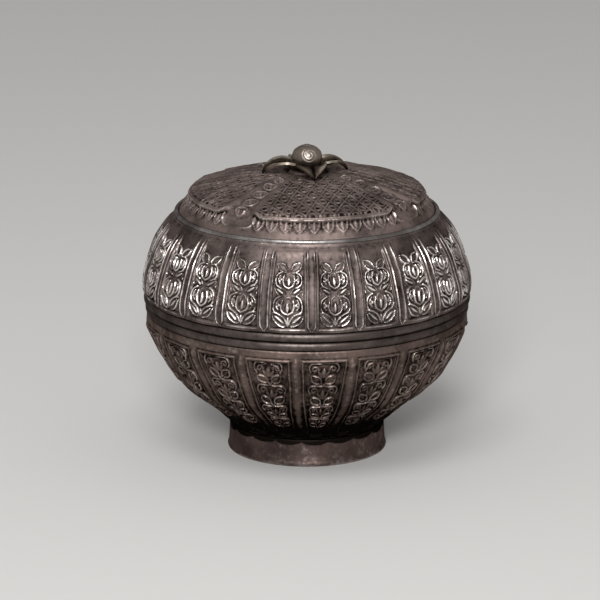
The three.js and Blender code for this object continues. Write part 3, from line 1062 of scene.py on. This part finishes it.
FOOT = [
    (24.75, 0.3), (24.95, 0.0), (25.9, 0.0), (26.3, 0.25), (26.42, 0.8), (26.25, 1.35), (26.05, 1.9),
    (25.90, 4.0), (25.80, 6.2),
] + [(25.77 - 0.01 * k, 6.8 + 0.3 * k) for k in range(6)] + [
    (25.71, 8.7), (25.55, 8.95), (24.7, 8.95), (24.5, 8.7), (24.65, 5.0), (24.75, 1.6),
]
COLLAR = [
    (49.9, 42.7), (49.9, 53.6), (49.75, 54.0), (49.45, 54.2), (49.15, 54.0), (49.0, 53.6), (49.0, 42.7),
    (49.45, 42.5),
]
PIN = [
    (0, 89.4), (1.6, 89.4), (2.3, 89.6), (2.6, 90.0), (2.6, 90.3), (1.4, 90.3), (1.4, 98.0), (1.2, 98.1),
    (0, 98.1),
]
WASHER = [
    (1.7, 90.7), (1.8, 90.6), (4.8, 90.6), (5.0, 90.8), (5.0, 91.2), (4.8, 91.4), (1.8, 91.4), (1.7, 91.3),
]
BOWL_MOULDING, LID_MOULDING = half_round(46.98, 49.92, 51.6, 53.5), half_round(50.08, 53.02, 51.6, 54.0)
WIRE = full_round(42.9, 80.25, 0.80)
ON_BOWL, ON_LID = ("bowl", "polished_silver"), ("lid", "polished_silver")
BOWL_PLAIN, LID_PLAIN = ("bowl", "plain_silver"), ("lid", "plain_silver")
TURNED = (
    ("bowl_rim_moulding_round", "bowl_rim_moulding", moulding_silver, ON_BOWL, BOWL_MOULDING, MOULDING_TONE),
    ("lid_rim_moulding_round", "lid_rim_moulding", moulding_silver, ON_LID, LID_MOULDING, MOULDING_TONE),
    ("plate_wire_round", "top_plate_wire", wire_silver, ON_LID, WIRE, WIRE_TONE),
    ("foot_ring_plain", "foot_ring", foot_silver, BOWL_PLAIN, FOOT, foot_painted_shadow_and_edge_glint),
    ("bowl_collar_plain", "bowl_collar", foot_silver, BOWL_PLAIN, COLLAR, PLAIN_TONE),
    ("knob_pin_headed", "knob_pin", foot_silver, LID_PLAIN, PIN, PLAIN_TONE, 48),
    ("knob_washer_disc", "knob_washer", foot_silver, LID_PLAIN, WASHER, PLAIN_TONE, 64),
)


def turned_piece(name, node, paint, place, profile, tone, steps=ROUND_STEPS):
    """A spun profile. One that starts on the axis needs no line back to its start."""
    closing = profile[:1] if profile[0][0] else []
    finish_piece(spin_profile(profile + closing, steps, tone), name, node, paint, *place, TURNED_SHARP)


for row in TURNED:
    turned_piece(*row)

# %% [markdown]
# ## The top plate
# The plate is a shallow dome with four raised pads. Each pad has rounded corners, two fine raised
# lines along its edge, the inner one roped, and a net of crossing bars whose two directions follow
# the pad's two straight sides, with a small ring in every mesh. A border of lappets hangs down the
# slope under each pad. The channels between the pads are sunk. Each holds a chain of rosettes, and
# a raised line closes its outer end.

# %% The plate's carving
PLATE_PADS = 4
PAD_AZIMUTH = math.radians(10)
PAD_HALF_ANGLE = math.radians(36.9)
PLATE_OUTLINE = Outline(
    [(42.05, 80.1)] + smooth_curve([(42.0, 80.8), (41.45, 81.5), (40.5, 83.1), (38.75, 86.9)], 12)
    + smooth_curve([
        (38.6, 87.15), (38.2, 87.6), (37.0, 88.4), (28.0, 90.9), (20.0, 92.7), (11.5, 93.85), (6.0, 94.0),
    ])
)
PAD_EDGE = 7.05
PAD_INNER_R = 8.5
PAD_SLOPES = (0.75, 2.2)
CORNER = 4.2
ROPE_PITCH = 1.2
NET_MIDDLE_R = 29.4
NET_SIDE = 4.78
NET_ANGLE = math.radians(29.7)
NET_BAR = 0.56
NET_RING = 1.12
LAPPETS = 11
LAPPET_R = 39.6
LAPPET_HALF = 1.85
LAPPET_DROP = 4.2
LAPPET_LINE = 0.45
LAPPET_BUD = petal((0, 0.6), (0, 3.5), 1.5)[2]
ROSETTES = ((15.2, 2.0), (20.6, 2.35), (26.4, 2.5), (32.2, 2.5), (37.3, 2.1))
TONGUE = (6.0, 3.75)
PLATE_GROUND_TONE = 0.50
PLATE_LIFT = {"channel": -0.85, "rim": 0.22, "net": 0.42, "hang": 0.45, "tongue": 0.40, "chain": 0.45}
# painted_glint is a painted highlight on the upper part of each lappet.
PLATE_TONE = {
    "ground": -0.17, "mesh": 0.40, "rim": 0.66, "slope": -0.24, "hang": 0.45, "painted_glint": 0.65, "tongue": 0.9,
    "chain": 0.45, "bed": -0.12,
}


def pad_depth(radius, side, inside):
    """Distance in mm from the pad's edge, positive on the pad, with rounded corners."""
    if side < CORNER and inside < CORNER:
        return CORNER - math.hypot(CORNER - side, CORNER - inside)
    return min(side, inside, radius - PAD_INNER_R)


def net(radius, azimuth):
    """Bars that run along the pad's two sides, with a ring in each mesh."""
    out, over = radius * math.cos(azimuth) - NET_MIDDLE_R, radius * math.sin(azimuth)
    across, along = out / math.cos(NET_ANGLE) / 2, over / math.sin(NET_ANGLE) / 2
    mesh_gap = NET_SIDE * math.sin(2 * NET_ANGLE)
    cells = [(x / NET_SIDE + 0.5) % 1 - 0.5 for x in (across + along, across - along)]
    bars = [ridge((0.5 - abs(c)) * mesh_gap, NET_BAR) for c in cells]
    dx = (cells[0] + cells[1]) * NET_SIDE * math.cos(NET_ANGLE)
    dy = (cells[0] - cells[1]) * NET_SIDE * math.sin(NET_ANGLE)
    reach = math.hypot(dx / 1.15, dy)
    return max(max(bars), 0.85 * ridge(reach - NET_RING, 0.50))


def lappet(azimuth, down):
    """A hanging tongue with a raised outline and a bud inside. down is mm below the pad's edge."""
    width = 2 * PAD_HALF_ANGLE / LAPPETS * LAPPET_R
    u = ((azimuth + PAD_HALF_ANGLE) / (2 * PAD_HALF_ANGLE) * LAPPETS % 1 - 0.5) * width
    edge = -1
    if down < LAPPET_DROP:
        edge = LAPPET_HALF * (1 - max(down / LAPPET_DROP, 0.0) ** 2.6)
    past = abs(u) - edge if edge > 0 else math.hypot(u, down - LAPPET_DROP)
    body = 0.3 * smoothstep(0.2, -0.3, abs(u) - edge)
    return max(ridge(past, LAPPET_LINE), body, 0.9 * LAPPET_BUD(u, down))


def rosette(over, radius):
    """Ring, petals and dot at each place along a channel's middle."""
    best = 0.0
    for place, size in ROSETTES:
        ds = radius - place
        reach = math.hypot(over, ds)
        if reach > size + 0.5:
            continue
        turn = math.atan2(ds, over)
        scroll = ridge(reach - (size - 0.35 + 0.25 * math.cos(turn + 0.6)), 0.5)
        petals = ridge(reach - 0.58 * size, 0.5) * (0.35 + 0.65 * math.cos(3 * turn) ** 2)
        best = max(best, scroll, 0.8 * petals, ridge(reach, 0.6))
    return best


def plate_point(u, s, radius):
    azimuth, inside = u / radius, s - PAD_EDGE
    over = radius * math.sin(math.pi / PLATE_PADS - abs(azimuth))
    side = radius * math.sin(PAD_HALF_ANGLE - abs(azimuth))
    depth = pad_depth(radius, side, inside)
    along_side = smoothstep(0.0, 2.0, inside - side)
    off_pad = 1 - smoothstep(-mix(*PAD_SLOPES, along_side), 0.0, depth)
    top = smoothstep(PAD_EDGE - 1.0, PAD_EDGE, s)
    slope = smoothstep(2.4, 3.0, s) * smoothstep(PAD_EDGE + 0.2, PAD_EDGE - 0.4, s)
    slope *= smoothstep(0.3, 1.1, side + 1.2)
    rope = 0.6 + 0.4 * math.cos(FULL_TURN * (radius if side < inside else u) / ROPE_PITCH)
    rim = max(ridge(depth - 0.10, 0.30), 0.7 * ridge(depth - 0.85, 0.34) * rope) * top
    ground = smoothstep(1.0, 1.35, depth)
    mesh = net(radius, azimuth) * ground
    hang = lappet(azimuth, -inside) * slope
    end_share = (abs(over) / TONGUE[0]) ** 4 + (max(-inside, 0) / TONGUE[1]) ** 4
    parts = {
        "channel": off_pad * smoothstep(2.8, PAD_EDGE, s),
        "rim": rim * mix(1.0, 0.35, along_side),
        "ground": ground,
        "mesh": mesh,
        "net": mesh - ground,
        "slope": slope,
        "hang": hang,
        # painted highlight on the lappets' upper part
        "painted_glint": smoothstep(3.2, 0.8, -inside) * slope * hang,
        "tongue": ridge((end_share ** 0.25 - 1) * 4, 0.36) * smoothstep(PAD_EDGE + 0.9, PAD_EDGE - 0.1, s),
        "chain": rosette(over, radius) * smoothstep(0.1, -0.7, depth) * (0.4 + 0.6 * top),
        "bed": off_pad * top,
    }
    return weighed(PLATE_LIFT, parts), PLATE_GROUND_TONE + weighed(PLATE_TONE, parts)


def plate_carving(s):
    radius = PLATE_OUTLINE.at(s)[0]
    return lambda u: plate_point(u, s, radius)


PLATE_COLUMNS = 176
PLATE_ROWS = stepped(0, 6, 2.4, 118, 38.0, 8, PLATE_OUTLINE.total)
PLATE_BEATING = (0.12, 5, 79.8, 96)
PLATE_WALL = [
    (42.0, 79.8), (41.8, 79.7), (40.7, 79.7), (39.9, 79.7), (39.8, 79.9), (39.1, 82.6), (36.2, 85.6),
    (28.0, 88.4), (20.0, 90.3), (6.5, 91.6), (1.9, 91.7), (1.7, 91.9), (1.7, 93.7), (1.9, 93.9), (4.8, 93.9),
    (5.5, 93.95),
]


def quarter_places(s):
    half_pitch = math.pi * PLATE_OUTLINE.at(s)[0] / PLATE_PADS
    return [mix(-half_pitch, half_pitch, k / PLATE_COLUMNS) for k in range(PLATE_COLUMNS + 1)]


def top_plate():
    bm = new_sheet()
    heights, relief = carve(PLATE_ROWS, quarter_places, plate_carving, SHELL_REACH)
    lay_grid(bm, PLATE_ROWS, quarter_places, heights, relief, PLATE_OUTLINE, PAD_AZIMUTH)
    bm = carved_shell(bm, PLATE_PADS, PLATE_BEATING, [PLATE_WALL])
    finish_piece(bm, "top_plate_carved", "top_plate", plate_silver, "lid", "oxidised_silver")


top_plate()

# %% [markdown]
# ## The knob
# Four pointed leaves are cut from one sheet. They rise round the ball, arch over, and droop until
# their tips nearly touch the plate. A leaf's edges curl up, and a shallow channel runs down its
# middle. No two leaves are the same length, so each is a grid of its own. Solidify gives the sheet
# its thickness.

# %% The calyx
LEAF_AZIMUTH = math.radians(10)
LEAF_REACHES = (14.7, 13.2, 13.4, 14.6)
LEAF_RISES = (2.2, 2.0, 1.0, 2.1)
LEAF_POINT = 0.95
LEAF_TONE = 0.42
HOLE_R = 1.7
NOTCH_R = 7.6
ARCH_R = 9.5
ARCH_RISE = 2.2
TIP_DROP = 2.6
CALYX_BASE_Z = 94.2
CALYX_SHEET = 0.8
CALYX_GRID = (32, 40)


def calyx_leaf(bm, azimuth, reach, rise):
    """A quarter of the sheet: a grid from the pin hole out to the leaf's edge and tip."""
    layer, leaf_half = relief_layer(bm), math.pi / len(LEAF_REACHES)
    columns, rows = CALYX_GRID
    made = bmesh.ops.create_grid(bm, x_segments=columns, y_segments=rows, size=1)["verts"]
    for vert in made:
        side, share = vert.co.x, (vert.co.y + 1) / 2
        radius = mix(HOLE_R, NOTCH_R + (reach - NOTCH_R) * (1 - abs(side)) ** LEAF_POINT, share)
        lip = smoothstep(0.72, 1.0, share) * smoothstep(0.0, 0.3, abs(side))
        channel = ridge(radius * math.sin(abs(side) * leaf_half), 1.6) * smoothstep(5, 8, radius)
        height = mix(ARCH_RISE, rise, 1 - abs(side)) * smoothstep(3.2, ARCH_R, radius)
        if radius > ARCH_R:
            height -= TIP_DROP * ((radius - ARCH_R) / (reach - ARCH_R)) ** 2
        height += CALYX_BASE_Z + 0.6 * lip - 0.35 * channel + 0.25 * side**2
        vert.co = turned_point(azimuth + side * leaf_half, radius, height)
        tone = LEAF_TONE + 0.6 * lip - 0.3 * channel - 0.3 * smoothstep(6, 3, radius)
        vert[layer] = min(max(tone, 0), 1)


def calyx():
    bm = new_sheet()
    for k, (reach, rise) in enumerate(zip(LEAF_REACHES, LEAF_RISES)):
        calyx_leaf(bm, LEAF_AZIMUTH + FULL_TURN * k / len(LEAF_REACHES), reach, rise)
    bmesh.ops.remove_doubles(bm, verts=bm.verts, dist=DOUBLES)
    bmesh.ops.recalc_face_normals(bm, faces=bm.faces)
    if sum(face.normal.z for face in bm.faces) < 0:
        bmesh.ops.reverse_faces(bm, faces=bm.faces)
    bmesh.ops.solidify(bm, geom=bm.faces[:], thickness=-CALYX_SHEET * MM)
    finish_piece(bm, "knob_calyx_leaves", "knob_calyx", calyx_silver, "lid", "gilt_silver")


calyx()

# %% [markdown]
# The ball is a little flatter than a true ball, and it is chased with a rosette in each quarter, a
# broken spiral round a boss, and with a ring and a boss on its crown. It is a spun arc whose points
# then move along the ball's radius by the carving's height.

# %% The ball
BALL_R = 5.15
BALL_HALF_HEIGHT = 4.45
BALL_Z = 98.1
BALL_SEAT_Z = 95.4
BALL_ARC_STEPS = 72
BALL_STEPS = 160
BALL_DEPTH = 0.16
BALL_CORE_R = 3.6
# The first two tones give the ball a painted light: darker below, lighter towards its top. The third is for
# the chased lines.
BALL_TONES = (0.42, 0.62, 0.92)
SOCKET = [(0, 98.4), (1.7, 98.4), (1.7, BALL_SEAT_Z)]
ROSETTE_COUNT = 4
ROSETTE_AZIMUTH = math.radians(11)
ROSETTE_LIFT = math.radians(22)
ROSETTE_REACH = 3.7
COIL_STEP = 1.15
UP = Vector((0, 0, 1))


def spiral(direction, azimuth):
    """The height of one rosette of the ball, whose middle looks to the azimuth."""
    flat = math.cos(ROSETTE_LIFT)
    centre = Vector((math.sin(azimuth) * flat, -math.cos(azimuth) * flat, math.sin(ROSETTE_LIFT)))
    reach = direction.angle(centre) * BALL_R
    if reach > ROSETTE_REACH:
        return 0.0
    side = centre.cross(UP).normalized()
    turn = math.atan2(direction.dot(centre.cross(side)), direction.dot(side))
    broken = 0.45 + 0.55 * math.cos(1.5 * turn + 0.8) ** 2
    coil = (turn / FULL_TURN + reach / COIL_STEP) % 1.0
    line = ridge((coil - 0.5) * COIL_STEP, 0.44) * 0.8 * smoothstep(ROSETTE_REACH, 2.2, reach) * broken
    return max(line, ridge(reach, 0.6))


def ball_carving(direction):
    azimuths = [ROSETTE_AZIMUTH + FULL_TURN * k / ROSETTE_COUNT for k in range(ROSETTE_COUNT)]
    best = max(spiral(direction, azimuth) for azimuth in azimuths)
    crown = direction.angle(UP) * BALL_R
    return max(best, 0.8 * ridge(crown - 1.1, 0.4), 0.8 * ridge(crown, 0.5))


def knob_ball():
    seat = math.asin((BALL_SEAT_Z - BALL_Z) / BALL_HALF_HEIGHT)
    arc = [mix(seat, math.pi / 2, i / BALL_ARC_STEPS) for i in range(BALL_ARC_STEPS + 1)]
    outside = [(BALL_R * math.cos(a), BALL_Z + BALL_HALF_HEIGHT * math.sin(a)) for a in arc]
    bm = spin_profile(SOCKET + outside, BALL_STEPS)
    layer = relief_layer(bm)
    painted_shaded_low_tone, painted_lit_top_tone, crest_tone = BALL_TONES
    for vert in bm.verts:
        away = vert.co - BALL_Z * MM * UP
        if away.length < BALL_CORE_R * MM:
            continue
        up = away.z / away.length
        height = ball_carving(away.normalized()) * smoothstep(-0.75, -0.4, up)
        # painted light: lighter towards the top of the ball, darker below
        vert[layer] = mix(mix(painted_shaded_low_tone, painted_lit_top_tone, smoothstep(-0.4, 0.8, up)), crest_tone, height)
        vert.co += away.normalized() * (height - 1) * BALL_DEPTH * MM
    finish_piece(bm, "knob_ball_chased", "knob_ball", ball_silver, "lid", "knob_silver")


knob_ball()

# %% [markdown]
# ## Size
# Both boxes are printed: the solids' box in the first cell, and the finished model's box here.

# %% Write the boxes and finish
visual_low, visual_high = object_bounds()
print_box("visual", visual_low, visual_high)
